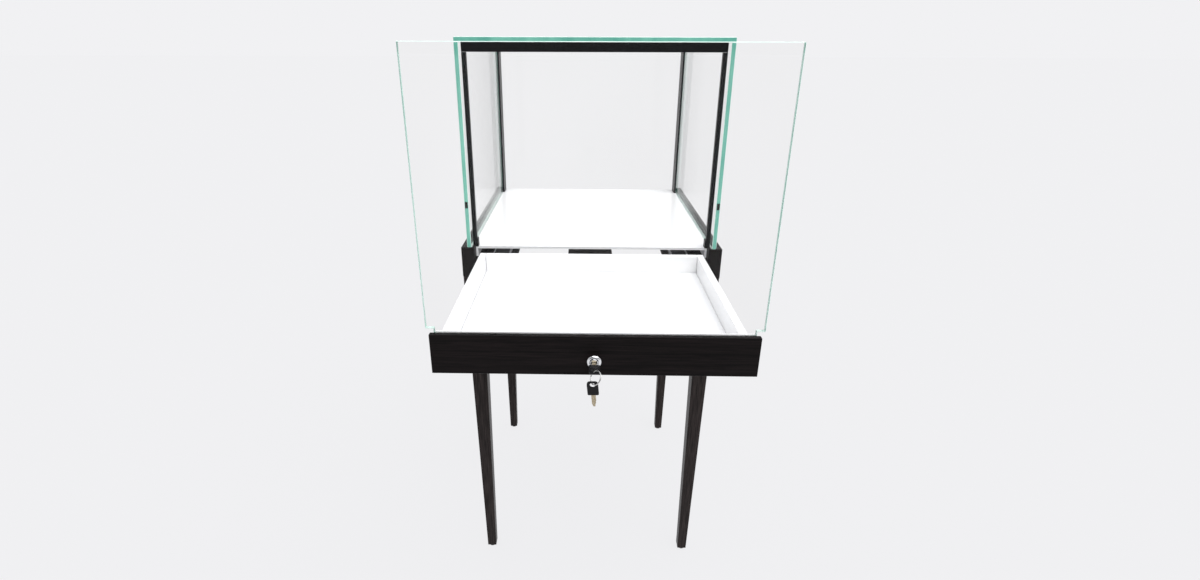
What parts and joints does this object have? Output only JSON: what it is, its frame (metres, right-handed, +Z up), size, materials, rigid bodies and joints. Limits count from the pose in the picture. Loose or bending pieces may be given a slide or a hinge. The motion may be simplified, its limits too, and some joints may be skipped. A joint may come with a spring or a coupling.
{
  "type": "glass display showcase",
  "caption": "Glass cube showcase on a dark wood base with tapered legs, opened by a shallow lockable drawer that carries the front pane.",
  "frame": {"origin": "on the floor, under the middle of the whole outline with the drawer fully out", "axes": "+Z up, +X to the right seen from the shopper's side, +Y from the drawer front towards the rear glass"},
  "size_m": [0.5, 0.8904, 1.15],
  "materials": {
    "glass": "clear float glass with green polished edges",
    "dark_wood": "espresso stained oak veneer, satin lacquer, fine straight grain",
    "dark_board": "black painted board, matt",
    "white_laminate": "white glossy laminate on board",
    "black_trim": "black satin extruded strip",
    "rubber": "black rubber",
    "nylon": "dark moulded nylon",
    "steel": "zinc plated steel",
    "chrome": "polished chrome",
    "key_metal": "nickel plated brass, rubbed",
    "black_plastic": "black moulded plastic with a fine grain"
  },
  "bodies": {
    "cabinet": {"top_glass": "glass", "left_side_glass": "glass", "right_side_glass": "glass", "rear_glass": "glass", "left_base_panel": "dark_wood", "right_base_panel": "dark_wood", "rear_base_panel": "dark_wood", "front_cross_rail": "dark_board", "left_slide_board": "dark_board", "centre_board": "dark_board", "right_slide_board": "dark_board", "deck_sheet": "white_laminate", "deck_board": "white_laminate", "left_deck_cleat": "white_laminate", "right_deck_cleat": "white_laminate", "front_header_strip": "black_trim", "front_left_post": "black_trim", "front_right_post": "black_trim", "rear_left_strip": "black_trim", "rear_right_strip": "black_trim", "left_glass_bumper": "rubber", "right_glass_bumper": "rubber", "front_left_leg": "dark_wood", "front_left_leg_bolt": "steel", "front_left_glide": "nylon", "front_right_leg": "dark_wood", "front_right_leg_bolt": "steel", "front_right_glide": "nylon", "rear_left_leg": "dark_wood", "rear_left_leg_bolt": "steel", "rear_left_glide": "nylon", "rear_right_leg": "dark_wood", "rear_right_leg_bolt": "steel", "rear_right_glide": "nylon", "left_slide_cabinet_member": "steel", "right_slide_cabinet_member": "steel", "strike_plate": "steel"},
    "drawer": {"drawer_front": "dark_wood", "drawer_inner_front": "white_laminate", "drawer_left_side": "white_laminate", "drawer_right_side": "white_laminate", "drawer_rear": "white_laminate", "drawer_bottom": "white_laminate", "front_glass": "glass", "glass_clamp_strip": "white_laminate", "left_slide_drawer_member": "steel", "right_slide_drawer_member": "steel", "lock_housing": "chrome", "lock_nut": "steel"},
    "left_slide_middle": {"left_slide_middle_member": "steel"},
    "right_slide_middle": {"right_slide_middle_member": "steel"},
    "lock_and_key": {"lock_plug": "chrome", "lock_cam": "steel", "cam_screw": "steel", "key_head": "black_plastic", "key_blade": "key_metal"},
    "key_ring": {"split_ring": "steel"},
    "spare_key": {"spare_key_head": "black_plastic", "spare_key_blade": "key_metal"}
  },
  "joints": [
    {"name": "drawer_slide", "type": "slide", "parent": "cabinet", "child": "drawer", "axis": [0, 1, 0], "range_m": [0, 0.35]},
    {"name": "left_slide_travel", "type": "slide", "parent": "cabinet", "child": "left_slide_middle", "axis": [0, 1, 0], "range_m": [0, 0.175]},
    {"name": "right_slide_travel", "type": "slide", "parent": "cabinet", "child": "right_slide_middle", "axis": [0, 1, 0], "range_m": [0, 0.175]},
    {"name": "lock_turn", "type": "hinge", "parent": "drawer", "child": "lock_and_key", "pos_m": [0, -0.40476, 0.735], "axis": [0, 1, 0], "range_deg": [0, 90]},
    {"name": "key_ring_swing", "type": "hinge", "parent": "drawer", "child": "key_ring", "pos_m": [0, -0.42876, 0.735], "axis": [0, 1, 0], "range_deg": [-5, 5]},
    {"name": "spare_key_swing", "type": "hinge", "parent": "key_ring", "child": "spare_key", "pos_m": [-0.00269, -0.43866, 0.72104], "axis": [0, 1, 0], "range_deg": [-20, 20]}
  ],
  "couplings": [
    {"joint": "left_slide_travel", "follows": "drawer_slide", "ratio": 0.5},
    {"joint": "right_slide_travel", "follows": "drawer_slide", "ratio": 0.5}
  ]
}
